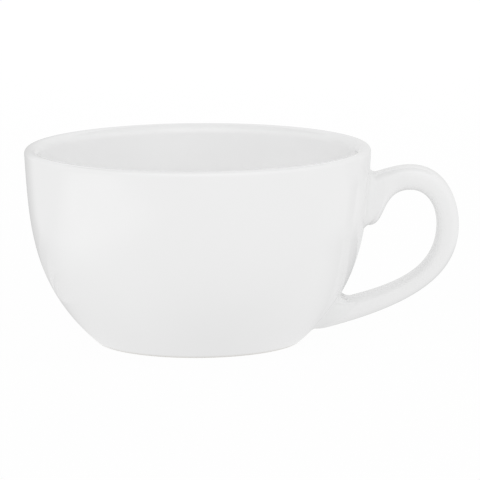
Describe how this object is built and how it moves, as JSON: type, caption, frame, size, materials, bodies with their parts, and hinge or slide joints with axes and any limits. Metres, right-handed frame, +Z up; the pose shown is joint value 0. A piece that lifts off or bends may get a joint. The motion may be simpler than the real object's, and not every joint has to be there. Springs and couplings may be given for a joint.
{
  "type": "mug",
  "caption": "Wide, low white glazed mug: a round bowl that tucks in to a foot ring, with a loop handle luted to its side by slip joints, for hot drinks.",
  "frame": {"origin": "middle of the whole mug's footprint, handle included, on the table", "axes": "+X towards the handle, +Z up, +Y across the handle's plane. The bowl's own axis is upright at x = -14.125 mm, y = 0"},
  "size_m": [0.1401, 0.1118, 0.063],
  "materials": {
    "white_glaze": "glossy white glaze over a white ceramic body, bare on the foot ring"
  },
  "bodies": {
    "root": {"bowl": "white_glaze", "handle": "white_glaze", "upper_slip_joint": "white_glaze", "lower_slip_joint": "white_glaze"}
  },
  "joints": []
}
